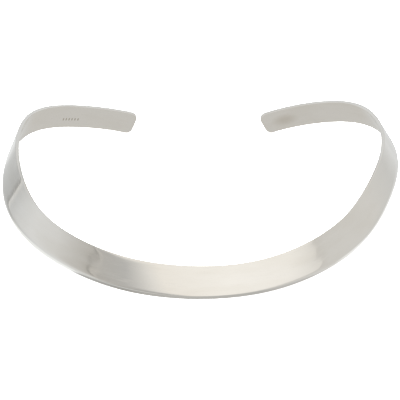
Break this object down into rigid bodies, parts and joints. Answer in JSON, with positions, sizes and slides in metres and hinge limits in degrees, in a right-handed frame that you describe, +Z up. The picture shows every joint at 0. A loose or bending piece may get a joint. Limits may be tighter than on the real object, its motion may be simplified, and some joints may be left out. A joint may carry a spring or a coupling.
{
  "type": "collar necklace",
  "caption": "Rigid open collar necklace: a tapered, polished silver band that lies nearly flat at the front and turns upright towards rounded tips at the back.",
  "frame": {"origin": "middle of the footprint, on the surface that the collar lies on", "axes": "+X to the right arm, -Y to the front centre of the band, +Y to the opening at the back, +Z up, square to the surface that the collar lies on"},
  "size_m": [0.1398, 0.1226, 0.0201],
  "materials": {
    "silver": "polished silver with fine wear lines"
  },
  "bodies": {
    "root": {"collar_band": "silver"}
  },
  "joints": []
}
